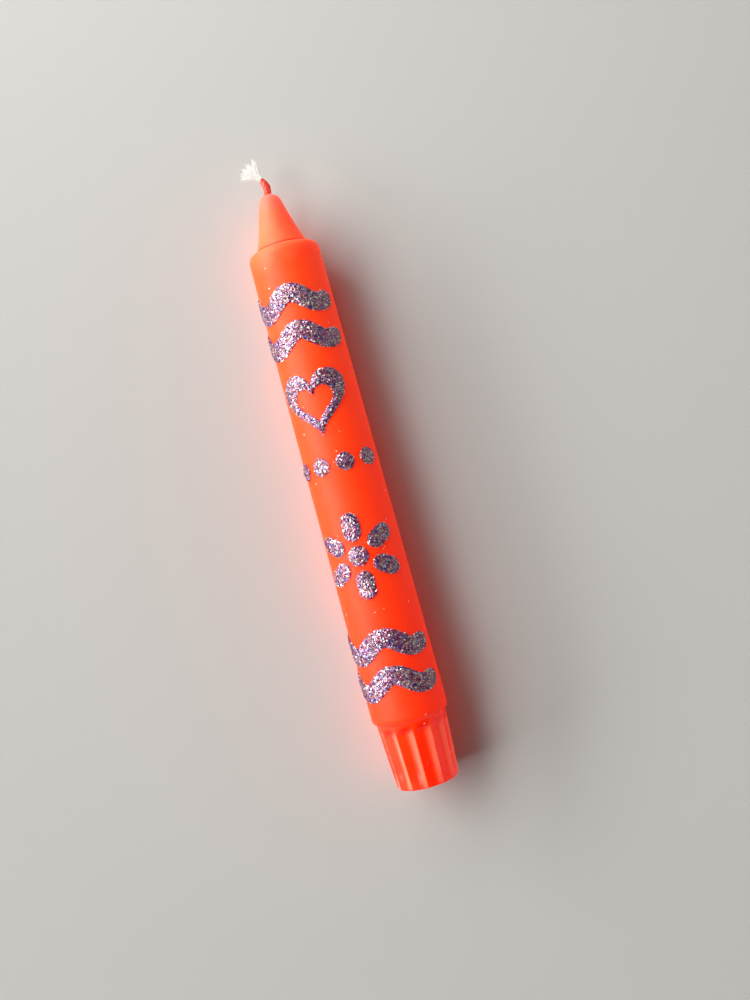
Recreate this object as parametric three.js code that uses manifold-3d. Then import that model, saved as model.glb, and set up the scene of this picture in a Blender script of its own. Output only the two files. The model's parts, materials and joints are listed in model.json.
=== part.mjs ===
// A household taper candle: cast in white paraffin with a fluted foot, dipped in a coat of neon
// orange wax, and painted with strokes of glitter. It lies on its side.
//
// Units are millimetres. The candle is drawn upright along its own axis, from its foot's end at z = 0
// to its wick. While it is drawn, +X is the side that comes to lie on the table, -X is the side that
// comes to face up, and the wick leans towards +Y. The last lines lay it down along +X.

import * as THREE from 'three';
import { mergeVertices } from 'three/addons/utils/BufferGeometryUtils.js';
import Module from 'manifold-3d';

const wasm = await Module();
wasm.setup();

// Wax body, measured over the coat
const waxLength = 180;
const lipRadius = 11.6;
const shoulderRadius = 10.7;

// Fluted foot, which goes into a candlestick
const footLength = 20;
const footEndRadius = 9.45;
const footTopRadius = 10.6;
const footEdgeRound = 0.9;
const lipRise = 2.5;
const fluteCount = 12;
const fluteDepth = 0.7;
const fluteLength = 17.5;
const fluteRunOut = 3.5;

// Shoulder and nose
const shoulderRound = 2.7;
const ledgeRise = 0.4;
const noseLength = 16;
const noseFootRadius = 7.7;
const noseTipRadius = 3.1;
const noseDomeHeight = 1.7;
const noseHollow = 0.6;

// Dipped coat
const coatThickness = 0.6;
const coatClearance = 0.06;

// Wick
const wickRadius = 0.8;
const wickClearance = 0.12;
const wickFootGap = 0.3;
const stubRise = 5.2;
const stubLean = 0.9;
const stubSway = 0.6;
const filmGap = 0.4;
const filmThickness = 0.33;
const filmTipThickness = 0.15;
const filmShare = 0.85;

// Frayed end: for each clump of fibres its tip's lean, rise and lift, and its thickest radius
const frayGap = 0.1;
const frayRootRadius = 0.55;
const frayClumps = [
  { lean: 5.1, rise: 1.9, lift: 0.6, radius: 0.95 },
  { lean: 3.2, rise: 5.4, lift: -0.7, radius: 1.15 },
  { lean: 0.5, rise: 6.6, lift: 0.4, radius: 0.8 },
];

// Glitter paint
const paintSeat = 0.12;
const paintEdge = 0.1;
const paintCrown = 0.32;
const paintFrom = 27;
const paintTopMargin = 9.7;

// Ornament, drawn flat on the shaft's unrolled skin
const waveCount = 2;
const waveWidth = 5.6;
const waveSwing = 2.3;
const waveLeft = -24;
const waveRight = 11.5;
const wavePitch = 11;
const wavePairInset = 5.2;
const flowerShare = 0.345;
const flowerAcross = -2;
const petalCount = 6;
const petalWidth = 5.2;
const petalInner = 4.4;
const petalOuter = 12.8;
const flowerCentreDiameter = 6;
const dotShare = 0.565;
const dotCount = 5;
const dotDiameter = 5.4;
const dotFirst = -21;
const dotPitch = 7.5;
const heartShare = 0.725;
const heartAcross = -2.5;
const heartWidth = 21;
const heartHollow = 0.56;
const heartHollowDrop = 1.2;

// How finely the solids are drawn
const stepsPerFlute = 4;
const arcSteps = 2;
const flankSteps = 5;
const wickSides = 8;
const frayRings = 7;
const strokeStep = 1.6;
const strokeEndSteps = 3;
const heartSteps = 40;

const ringSteps = fluteCount * stepsPerFlute;
const noseFoot = waxLength - noseLength;
const shaftTop = noseFoot - ledgeRise - shoulderRound;
const shaftBottom = footLength + lipRise;
const boreRadius = wickRadius + wickClearance;

function colour(hex, roughness, metalness = 0) {
  return new THREE.MeshStandardMaterial({ color: hex, roughness, metalness });
}

const paraffin = () => colour(0xf2e8da, 0.55);
const neonWax = () => colour(0xff3c14, 0.42);
const cotton = () => colour(0xf3efe6, 0.95);
const glitter = () => colour(0x9c87ba, 0.3, 0.6);

function named(name, geometry, material) {
  const mesh = new THREE.Mesh(geometry, material);
  mesh.name = name;
  return mesh;
}

function toSolid(geometry) {
  const bare = geometry.clone();
  bare.deleteAttribute('normal');
  bare.deleteAttribute('uv');
  const merged = mergeVertices(bare);
  const corners = Array.from(merged.index.array);
  const faces = [];
  for (let i = 0; i < corners.length; i += 3) {
    const face = corners.slice(i, i + 3);
    if (new Set(face).size === 3) faces.push(...face);
  }
  return new wasm.Manifold(new wasm.Mesh({
    numProp: 3,
    vertProperties: new Float32Array(merged.attributes.position.array),
    triVerts: new Uint32Array(faces),
  }));
}

function toGeometry(solid) {
  const { vertProperties, triVerts } = solid.getMesh();
  const geometry = new THREE.BufferGeometry();
  geometry.setAttribute('position', new THREE.BufferAttribute(vertProperties, 3));
  geometry.setIndex(new THREE.BufferAttribute(triVerts, 1));
  return geometry;
}

// The outline of the wax in section, from the axis at the foot's end to the axis at the nose's tip.
function waxOutline() {
  const path = new THREE.Path();
  path.moveTo(0, 0);
  path.lineTo(footEndRadius - footEdgeRound, 0);
  path.quadraticCurveTo(footEndRadius, 0, footEndRadius, footEdgeRound);
  for (const share of [1, 0.6, 0.25, 0]) {
    path.lineTo(footRadiusAt(fluteLength - share * fluteRunOut), fluteLength - share * fluteRunOut);
  }
  path.lineTo(footTopRadius, footLength);
  path.quadraticCurveTo(lipRadius, footLength, lipRadius, shaftBottom);
  path.lineTo(shoulderRadius, shaftTop);
  const ledge = shaftTop + shoulderRound;
  path.quadraticCurveTo(shoulderRadius, ledge, shoulderRadius - shoulderRound, ledge);
  path.lineTo(noseFootRadius, noseFoot);
  const outline = path.getPoints(2 * arcSteps);

  const domeFoot = waxLength - noseDomeHeight;
  const bend = new THREE.Vector2().lerpVectors(
    new THREE.Vector2(noseFootRadius, noseFoot), new THREE.Vector2(noseTipRadius, domeFoot), 0.3);
  const flank = new THREE.QuadraticBezierCurve(
    new THREE.Vector2(noseFootRadius, noseFoot),
    new THREE.Vector2(bend.x - noseHollow, bend.y),
    new THREE.Vector2(noseTipRadius, domeFoot));
  const dome = new THREE.QuadraticBezierCurve(
    new THREE.Vector2(noseTipRadius, domeFoot),
    new THREE.Vector2(noseTipRadius - noseDomeHeight / 4, waxLength),
    new THREE.Vector2(0, waxLength));
  outline.push(...flank.getPoints(flankSteps).slice(1), ...dome.getPoints(2 * arcSteps).slice(1));
  return outline;
}

function footRadiusAt(height) {
  return THREE.MathUtils.lerp(footEndRadius, footTopRadius, height / footLength);
}

// The same outline, `depth` inside the wax, with its two ends still on the axis.
function inset(outline, depth) {
  const sunk = outline.map((point, i) => {
    const before = outline[Math.max(i - 1, 0)];
    const after = outline[Math.min(i + 1, outline.length - 1)];
    const along = [point.clone().sub(before), after.clone().sub(point)].filter((v) => v.length() > 0);
    const normals = along.map((v) => new THREE.Vector2(-v.y, v.x).normalize());
    const normal = normals.reduce((sum, v) => sum.add(v), new THREE.Vector2()).normalize();
    return point.clone().addScaledVector(normal, depth / normal.dot(normals[0]));
  });
  sunk[0].x = 0;
  sunk[sunk.length - 1].x = 0;
  return sunk;
}

// The wax as a solid, `depth` inside its skin. One of the flats that it is turned with faces +X, the table.
function waxBody(depth) {
  const outline = depth > 0 ? inset(waxOutline(), depth) : waxOutline();
  const geometry = new THREE.LatheGeometry(outline, ringSteps, Math.PI / 2 + Math.PI / ringSteps);
  geometry.rotateX(Math.PI / 2);
  return toSolid(fluted(geometry));
}

// What the wick's hole takes out of the wax, from one end of the candle to the other.
function bore() {
  const cutter = new THREE.CylinderGeometry(boreRadius, boreRadius, waxLength, 2 * wickSides);
  cutter.rotateX(Math.PI / 2);
  cutter.translate(0, 0, waxLength / 2 + coatThickness + coatClearance / 2);
  return toSolid(cutter);
}

// Presses the hollow flutes into the skin of the foot, with a crisp crest between each two.
function fluted(geometry) {
  const points = geometry.attributes.position;
  const pitch = 2 * Math.PI / fluteCount;
  for (let i = 0; i < points.count; i += 1) {
    const radius = Math.hypot(points.getX(i), points.getY(i));
    if (radius > footEndRadius / 2 && points.getZ(i) < fluteLength) {
      const turn = Math.atan2(points.getY(i), points.getX(i)) - Math.PI / ringSteps;
      const fromMiddle = 2 * (turn / pitch - Math.floor(turn / pitch)) - 1;
      const runOut = Math.max(0, 1 - (fluteLength - points.getZ(i)) / fluteRunOut);
      const depth = fluteDepth * Math.sqrt(1 - runOut ** 2) * (1 - fromMiddle ** 2);
      const scale = (radius - depth) / radius;
      points.setX(i, points.getX(i) * scale);
      points.setY(i, points.getY(i) * scale);
    }
  }
  return geometry;
}

function waxCore() {
  const core = waxBody(coatThickness + coatClearance).subtract(bore());
  return named('wax_core', toGeometry(core), paraffin());
}

function colourCoat() {
  const coat = waxBody(0).subtract(waxBody(coatThickness)).subtract(bore());
  return named('colour_coat', toGeometry(coat), neonWax());
}

// A solid through closed rings of points, which have caps at both ends or, if looped, run on to the
// first ring again. Each ring turns anticlockwise about the way to the next.
function loft(rings, looped = false) {
  const sides = rings[0].length;
  const positions = rings.flat().flatMap((point) => point.toArray());
  const faces = [];
  const links = looped ? rings.length : rings.length - 1;
  for (let k = 0; k < links; k += 1) {
    const low = k * sides;
    const high = ((k + 1) % rings.length) * sides;
    for (let i = 0; i < sides; i += 1) {
      const j = (i + 1) % sides;
      faces.push(low + i, low + j, high + j, low + i, high + j, high + i);
    }
  }
  if (!looped) {
    const last = (rings.length - 1) * sides;
    for (let i = 1; i < sides - 1; i += 1) {
      faces.push(0, i + 1, i, last, last + i, last + i + 1);
    }
  }
  const geometry = new THREE.BufferGeometry();
  geometry.setAttribute('position', new THREE.Float32BufferAttribute(positions, 3));
  geometry.setIndex(faces);
  return geometry;
}

// Rings of a round section along a curve, `radii` giving the radius at each share of its length.
function tubeRings(curve, radii, sides = wickSides) {
  const frames = curve.computeFrenetFrames(radii.length - 1);
  return radii.map((radius, k) => {
    const centre = curve.getPointAt(k / (radii.length - 1));
    return Array.from({ length: sides }, (_, i) => {
      const turn = 2 * Math.PI * i / sides;
      return centre.clone()
        .addScaledVector(frames.normals[k], radius * Math.cos(turn))
        .addScaledVector(frames.binormals[k], radius * Math.sin(turn));
    });
  });
}

// The free stub above the nose: it sways off to -Y, then leans towards +Y.
const stub = new THREE.CubicBezierCurve3(
  new THREE.Vector3(0, 0, waxLength),
  new THREE.Vector3(0, -stubSway, waxLength + 0.4 * stubRise),
  new THREE.Vector3(0, -stubSway / 3, waxLength + 0.7 * stubRise),
  new THREE.Vector3(0, stubLean, waxLength + stubRise));

function wick() {
  const stubRadii = Array(6).fill(wickRadius);
  const rings = tubeRings(stub, stubRadii);
  const footEnd = coatThickness + wickFootGap;
  const bottom = rings[0].map((point) => new THREE.Vector3(point.x, point.y, footEnd));
  const exit = rings[0].map((point) => new THREE.Vector3(point.x, point.y, waxLength));
  return named('wick', loft([bottom, exit, ...rings.slice(1)]), cotton());
}

function wickDipFilm() {
  const start = filmGap / stubRise;
  const covered = new THREE.CatmullRomCurve3(
    [0, 0.25, 0.5, 0.75, 1].map((share) => stub.getPointAt(start + (filmShare - start) * share)));
  const tip = wickRadius + wickClearance + filmTipThickness;
  const base = wickRadius + wickClearance + filmThickness;
  const outside = tubeRings(covered, [base, base, base, (base + tip) / 2, tip]);
  const inside = tubeRings(covered, Array(5).fill(wickRadius + wickClearance));
  return named('wick_dip_film', loft([...outside, ...inside.reverse()], true), neonWax());
}

// Three clumps of loose fibres that spread from the wick's end, joined at their root.
function wickFray() {
  const aim = stub.getTangent(1);
  const root = stub.getPoint(1).addScaledVector(aim, frayGap);
  const clumps = frayClumps.map(({ lean, rise, lift, radius }) => {
    const tip = root.clone().add(new THREE.Vector3(-lift, lean, rise));
    const swell = root.clone().addScaledVector(aim, 0.4 * root.distanceTo(tip));
    const line = new THREE.QuadraticBezierCurve3(root, swell, tip);
    const radii = Array.from({ length: frayRings }, (_, k) => {
      const share = k / (frayRings - 1);
      return THREE.MathUtils.lerp(frayRootRadius, radius, Math.sin(0.8 * Math.PI * share));
    });
    return toSolid(loft(tubeRings(line, radii)));
  });
  const joined = clumps.reduce((sum, clump) => sum.add(clump));
  return named('wick_fray', toGeometry(joined), cotton());
}

function shaftRadiusAt(height) {
  const share = (height - shaftBottom) / (shaftTop - shaftBottom);
  return THREE.MathUtils.lerp(lipRadius, shoulderRadius, share);
}

// Wraps a point of the flat drawing round the shaft. `across` is the way round it from the line that
// faces up, to the right as seen from above with the foot nearest, and `up` is the height on it.
function onShaft(across, up, rise) {
  const turn = across / ((lipRadius + shoulderRadius) / 2);
  const radius = shaftRadiusAt(up) + paintSeat + rise;
  return new THREE.Vector3(-radius * Math.cos(turn), -radius * Math.sin(turn), up);
}

// Paint between pairs of edge points, a low ridge that swells to its crown halfway between them.
function painted(name, edges, looped = false) {
  const shares = [0, 0.22, 0.5, 0.78, 1];
  const rings = edges.map(([left, right]) => {
    const line = shares.map((share) => new THREE.Vector2().lerpVectors(left, right, share));
    const top = line.map((point, i) => {
      const swell = 1 - (2 * shares[i] - 1) ** 2;
      return onShaft(point.x, point.y, THREE.MathUtils.lerp(paintEdge, paintCrown, swell));
    });
    const bottom = line.map((point) => onShaft(point.x, point.y, 0));
    return [...top, ...bottom.reverse()];
  });
  return named(name, loft(rings, looped), glitter());
}

// One stroke of a round brush along a flat path.
function stroke(name, path, width) {
  const half = width / 2;
  const length = path.getLength();
  const middle = Math.max(0, Math.round((length - width) / strokeStep));
  const ends = Array.from({ length: strokeEndSteps }, (_, k) => {
    const turn = Math.PI / 2 * (k + 0.35) / strokeEndSteps;
    return { at: half * (1 - Math.cos(turn)), reach: half * Math.sin(turn) };
  });
  const stations = [
    ...ends,
    ...Array.from({ length: middle + 1 }, (_, k) => (
      { at: half + (length - width) * k / Math.max(middle, 1), reach: half })),
    ...ends.map(({ at, reach }) => ({ at: length - at, reach })).reverse(),
  ];
  const edges = stations.map(({ at, reach }) => {
    const centre = path.getPointAt(at / length);
    const along = path.getTangentAt(at / length);
    const side = new THREE.Vector2(-along.y, along.x).multiplyScalar(reach);
    return [centre.clone().add(side), centre.clone().sub(side)];
  });
  return painted(name, edges);
}

// The height at a share of the painted stretch of the shaft.
function paintHeight(share) {
  return THREE.MathUtils.lerp(paintFrom, shaftTop - paintTopMargin, share);
}

function wave(name, height) {
  const points = Array.from({ length: 8 * waveCount + 1 }, (_, k) => {
    const share = k / (8 * waveCount);
    const across = THREE.MathUtils.lerp(waveLeft, waveRight, share);
    return new THREE.Vector2(across, height + waveSwing * Math.sin(2 * Math.PI * waveCount * share));
  });
  return stroke(name, new THREE.SplineCurve(points), waveWidth);
}

function waves() {
  const low = paintHeight(0) + wavePairInset;
  const high = paintHeight(1) - wavePairInset;
  return [low, low + wavePitch, high - wavePitch, high].map((height, i) => (
    wave(`glitter_wave_${i + 1}`, height)));
}

function dot(name, across, height, diameter) {
  const reach = new THREE.Vector2(diameter / 2, 0);
  const centre = new THREE.Vector2(across, height);
  return stroke(name, new THREE.LineCurve(centre.clone().sub(reach), centre.clone().add(reach)), diameter);
}

function flower() {
  const centre = new THREE.Vector2(flowerAcross, paintHeight(flowerShare));
  const petals = Array.from({ length: petalCount }, (_, k) => {
    const turn = 2 * Math.PI * (k + 0.5) / petalCount;
    const aim = new THREE.Vector2(Math.cos(turn), Math.sin(turn));
    const spoke = new THREE.LineCurve(
      centre.clone().addScaledVector(aim, petalInner), centre.clone().addScaledVector(aim, petalOuter));
    return stroke(`glitter_petal_${k + 1}`, spoke, petalWidth);
  });
  return [...petals, dot('glitter_flower_centre', centre.x, centre.y, flowerCentreDiameter)];
}

function dots() {
  return Array.from({ length: dotCount }, (_, k) => (
    dot(`glitter_dot_${k + 1}`, dotFirst + k * dotPitch, paintHeight(dotShare), dotDiameter)));
}

// An open heart: paint between a heart curve and a smaller one inside it.
function heart() {
  const size = heartWidth / 32;
  const centre = new THREE.Vector2(heartAcross, paintHeight(heartShare));
  const edges = Array.from({ length: heartSteps }, (_, k) => {
    const t = 2 * Math.PI * k / heartSteps;
    const x = 16 * Math.sin(t) ** 3;
    const y = 13 * Math.cos(t) - 5 * Math.cos(2 * t) - 2 * Math.cos(3 * t) - Math.cos(4 * t);
    const outer = new THREE.Vector2(x, y).multiplyScalar(size);
    const inner = outer.clone().multiplyScalar(heartHollow).sub(new THREE.Vector2(0, heartHollowDrop));
    return [outer.add(centre), inner.add(centre)];
  });
  return painted('glitter_heart', edges, true);
}

const candle = new THREE.Group();
candle.add(waxCore(), colourCoat(), wick(), wickDipFilm(), wickFray());
candle.add(...waves(), ...flower(), ...dots(), heart());

// Laid down, the candle rests on the flat of its tapering shaft that faces the table. Its middle is
// then over the origin, with the wick's end towards +X.
const flatDrop = (lipRadius - shoulderRadius) * Math.cos(Math.PI / ringSteps);
candle.rotation.y = Math.PI / 2 + Math.atan2(flatDrop, shaftTop - shaftBottom);
const part = new THREE.Group();
part.add(candle);
part.updateMatrixWorld(true);
const box = new THREE.Box3().setFromObject(part, true);
candle.position.set(-(box.min.x + box.max.x) / 2, 0, -box.min.z);

export default part;
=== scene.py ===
# %% [markdown]
# # A neon taper candle with glitter paint, lying on its side
#
# The real thing is cast in white paraffin, dipped in fluorescent orange-red wax and painted by hand with
# glitter glue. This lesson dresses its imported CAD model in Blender. Each piece is drawn upright along the
# candle's own axis, with the foot's end at height 0, and is then laid down with one matrix. Sizes are in
# millimetres until they are handed to Blender.

import json
import math
from functools import partial

import bmesh
import bpy
from mathutils import Matrix, Vector
from mathutils.geometry import interpolate_bezier


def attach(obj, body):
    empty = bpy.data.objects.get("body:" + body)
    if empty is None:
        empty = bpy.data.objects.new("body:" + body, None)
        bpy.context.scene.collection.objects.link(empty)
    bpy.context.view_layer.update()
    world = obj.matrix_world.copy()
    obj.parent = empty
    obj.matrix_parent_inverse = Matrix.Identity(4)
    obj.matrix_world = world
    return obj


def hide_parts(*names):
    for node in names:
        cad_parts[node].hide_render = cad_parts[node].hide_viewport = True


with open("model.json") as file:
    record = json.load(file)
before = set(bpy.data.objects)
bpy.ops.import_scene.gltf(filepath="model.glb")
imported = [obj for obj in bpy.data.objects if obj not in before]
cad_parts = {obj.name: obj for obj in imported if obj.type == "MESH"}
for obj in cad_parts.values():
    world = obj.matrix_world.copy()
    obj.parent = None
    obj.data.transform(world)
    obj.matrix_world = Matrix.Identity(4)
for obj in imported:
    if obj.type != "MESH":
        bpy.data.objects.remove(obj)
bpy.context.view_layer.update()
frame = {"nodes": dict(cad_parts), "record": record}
MM = 0.001

# %% [markdown]
# ## The way from upright to lying down
#
# The record's mount at the foot's end holds the candle's place and slope: its point is the middle of the
# end face, and its axis points out of it. In the upright drawing +Z runs up the candle, -X is the side that
# comes to face up, and +Y is the side that the wick leans to.

# %% Lay a piece down
mounts = {mount["name"]: mount for mount in frame["record"]["mounts"]}
foot_middle = Vector(mounts["foot_end"]["pos_m"])
up_the_candle = -Vector(mounts["foot_end"]["axis"]).normalized()
to_the_left = Vector((0, 1, 0))
to_the_table = to_the_left.cross(up_the_candle)
laid_down = Matrix.Translation(foot_middle) @ Matrix(
    (to_the_table, to_the_left, up_the_candle)).transposed().to_4x4()
print("The axis dips", round(math.degrees(-math.asin(up_the_candle.z)), 2), "degrees towards the wick")

# %% [markdown]
# ## The camera
#
# The photograph was taken from straight above. In its 750 x 1000 frame the foot's end is at one pixel, the
# candle runs up and to the left from there, and its axis shows at a steady scale. Those three facts and the
# lens place the camera.

# %% Camera
PICTURE_WIDTH, PICTURE_HEIGHT = 750, 1000
FOOT_PIXEL = (428.3, 780.0)
CANDLE_LEAN = math.radians(15.36)
PIXELS_PER_MM = 3.375
LENS_PIXELS = 1080
SENSOR = 36

picture_right = PICTURE_WIDTH / 2 - FOOT_PIXEL[0]
picture_up = FOOT_PIXEL[1] - PICTURE_HEIGHT / 2
along = picture_up * math.cos(CANDLE_LEAN) - picture_right * math.sin(CANDLE_LEAN)
across = picture_right * math.cos(CANDLE_LEAN) + picture_up * math.sin(CANDLE_LEAN)


def new_object(name, data):
    """An object that holds this data, linked to the scene."""
    made = bpy.data.objects.new(name, data)
    bpy.context.scene.collection.objects.link(made)
    return made


camera = new_object("camera", bpy.data.cameras.new("camera"))
bpy.context.scene.camera = camera
camera.data.sensor_width = SENSOR
camera.data.lens = SENSOR * LENS_PIXELS / PICTURE_HEIGHT
camera.location = (
    foot_middle.x + along / PIXELS_PER_MM * MM,
    foot_middle.y - across / PIXELS_PER_MM * MM,
    foot_middle.z + LENS_PIXELS / PIXELS_PER_MM * MM)
camera.rotation_euler = (0, 0, -math.pi / 2 - CANDLE_LEAN)
print("The camera looks down from", [round(x / MM) for x in camera.location], "mm")

# %% [markdown]
# ## Helpers
#
# Shaders want linear colours, and people write them as sRGB hex. Node trees are built by one small function
# that adds a node with its settings and links. It goes by the name of add where it is bound to one tree. A
# Geometry Nodes tree is run once, and its result becomes a plain mesh.

# %% Colours and nodes
MATH = "ShaderNodeMath"
VECTOR_MATH = "ShaderNodeVectorMath"
MAP_RANGE = "ShaderNodeMapRange"
SMOOTH = {"interpolation_type": "SMOOTHSTEP"}


def linear(hex_colour):
    """An sRGB colour such as '#ff8040' as the linear one that a shader takes."""
    shares = [int(hex_colour[i:i + 2], 16) / 255 for i in (1, 3, 5)]
    return (*[s / 12.92 if s <= 0.04045 else ((s + 0.055) / 1.055) ** 2.4 for s in shares], 1.0)


def add_node(tree, kind, settings=(), inputs=()):
    """Adds a node. settings are its properties, or one word that names its operation. inputs are given by
    name or number, or as a list from the first on: plain values, sockets, or nodes whose first live output
    is linked."""
    node = tree.nodes.new(kind)
    node.location = (220 * (len(tree.nodes) % 12), -260 * (len(tree.nodes) // 12))
    if isinstance(settings, str):
        settings = {"operation": settings}
    if isinstance(inputs, list):
        inputs = dict(enumerate(inputs))
    for key, value in dict(settings).items():
        setattr(node, key, value)
    for key, value in dict(inputs).items():
        if isinstance(value, bpy.types.Node):
            value = next(output for output in value.outputs if output.enabled)
        if isinstance(value, bpy.types.NodeSocket):
            tree.links.new(value, node.inputs[key])
        else:
            node.inputs[key].default_value = value
    return node


def colour_ramp(add, share, stops, interpolation="LINEAR"):
    """A ramp through (place, hex colour) stops."""
    ramp = add("ShaderNodeValToRGB", inputs=[share])
    ramp.color_ramp.interpolation = interpolation
    elements = ramp.color_ramp.elements
    while len(elements) < len(stops):
        elements.new(1.0)
    for element, (place, hex_colour) in zip(elements, stops):
        element.position = place
        element.color = linear(hex_colour)
    return ramp


def new_material(name):
    """An empty material, and the function that adds to its tree."""
    material = bpy.data.materials.new(name)
    material.use_nodes = True
    material.node_tree.nodes.clear()
    return material, partial(add_node, material.node_tree)


def end_material(material, add, shader):
    """Gives the material this shader as its surface."""
    add("ShaderNodeOutputMaterial", inputs={"Surface": shader})
    return material


# %% Geometry Nodes
def new_tree(name, **inputs):
    """A Geometry Nodes tree, the function that adds to it, and the sockets that hand its inputs out. inputs
    are their names for each kind of socket."""
    tree = bpy.data.node_groups.new(name, "GeometryNodeTree")
    tree.interface.new_socket("Geometry", in_out="OUTPUT", socket_type="NodeSocketGeometry")
    for kind, labels in {"Geometry": "Geometry", **inputs}.items():
        for label in labels.split(", "):
            tree.interface.new_socket(label, in_out="INPUT", socket_type="NodeSocket" + kind)
    add = partial(add_node, tree)
    return tree, add, add("NodeGroupInput").outputs


def end_tree(add, geometry, *finishes):
    """Ends the tree in Realize Instances and Set Material. A finish is (material, which faces)."""
    last = add("GeometryNodeRealizeInstances", inputs=[geometry])
    for material, faces in finishes:
        last = add("GeometryNodeSetMaterial", inputs={
            "Geometry": last, "Selection": faces, "Material": material})
    add("NodeGroupOutput", inputs=[last])


def run_tree(piece, tree, sizes):
    """Runs the tree on a piece with these inputs and makes the result its plain mesh."""
    modifier = piece.modifiers.new(tree.name, "NODES")
    modifier.node_group = tree
    for socket in tree.interface.items_tree:
        if socket.name in sizes:
            modifier[socket.identifier] = sizes[socket.name]
    seen = piece.evaluated_get(bpy.context.evaluated_depsgraph_get())
    grown = bpy.data.meshes.new_from_object(seen)
    piece.modifiers.remove(modifier)
    piece.data = grown
    return piece


# %% Pieces
MERGE_REACH = 1e-6


def new_piece(name, points, faces=(), edges=()):
    """A new object at the origin, from points in millimetres in the upright drawing."""
    mesh = bpy.data.meshes.new(name)
    mesh.from_pydata([Vector(point) * MM for point in points], list(edges), list(faces))
    mesh.update()
    return new_object(name, mesh)


def upright_copy(name, node):
    """A CAD node's mesh with its doubles merged, stood upright in an object of its own."""
    mesh = frame["nodes"][node].data.copy()
    mesh.materials.clear()
    shape = bmesh.new()
    shape.from_mesh(mesh)
    bmesh.ops.remove_doubles(shape, verts=shape.verts, dist=MERGE_REACH)
    shape.to_mesh(mesh)
    shape.free()
    mesh.transform(laid_down.inverted())
    return new_object(name, mesh)


def hand_over(piece, finish, *nodes):
    piece.data.transform(laid_down)
    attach(piece, "root")
    if nodes:
        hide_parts(*nodes)
    triangles = sum(len(face.vertices) - 2 for face in piece.data.polygons)
    print(piece.name, "has", triangles, "triangles")


# %% [markdown]
# ## Wax: what it gives the eye
#
# Dipped paraffin is satin, a little translucent, and softly uneven from its own cooling. The dye is a
# fluorescent pigment, which gives back some of the blue and violet light that it takes in as red.
# Subsurface scattering carries red light through the candle, and a low red emission is painted glow: it
# shines whatever the lamps do, so the side that faces away from the window never turns dull. The colour
# also holds painted light: a pale highlight on the left flank of each of the foot's crests, and darker
# painted shade in the flutes' upper ends, along the foot's end and in the crease round the nose's foot.
# The moulded foot is glossier than the shaft, so it has a finish of its own.

# %% Fluorescent dipped wax
WAX_LENGTH = 180.0
FOOT_LENGTH = 20.0
NOSE_LENGTH = 16.0
NOSE_FOOT = WAX_LENGTH - NOSE_LENGTH

PAINTED_HIGHLIGHT_COLOUR = "#ff9877"
PAINTED_SHADE_COLOUR = "#e01c00"
DARKEST_PAINTED_SHADE = 0.8
# Heights where shade is painted, the foot's end and the crease below the nose, and how far it reaches there.
PAINTED_SHADE_BANDS = {0.0: 0.9, NOSE_FOOT - 0.15: 0.5}
CLOUD_SIZE = 14
CLOUD_SHARE = 0.16
STREAK_SIZE = 5
SATIN_SPREAD = 0.03
# Cooled wax has a faint skin like orange peel. This is from dimple to dimple, and how deep they are.
PEEL_SIZE = 0.7
PEEL_DEPTH = 0.02


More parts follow.
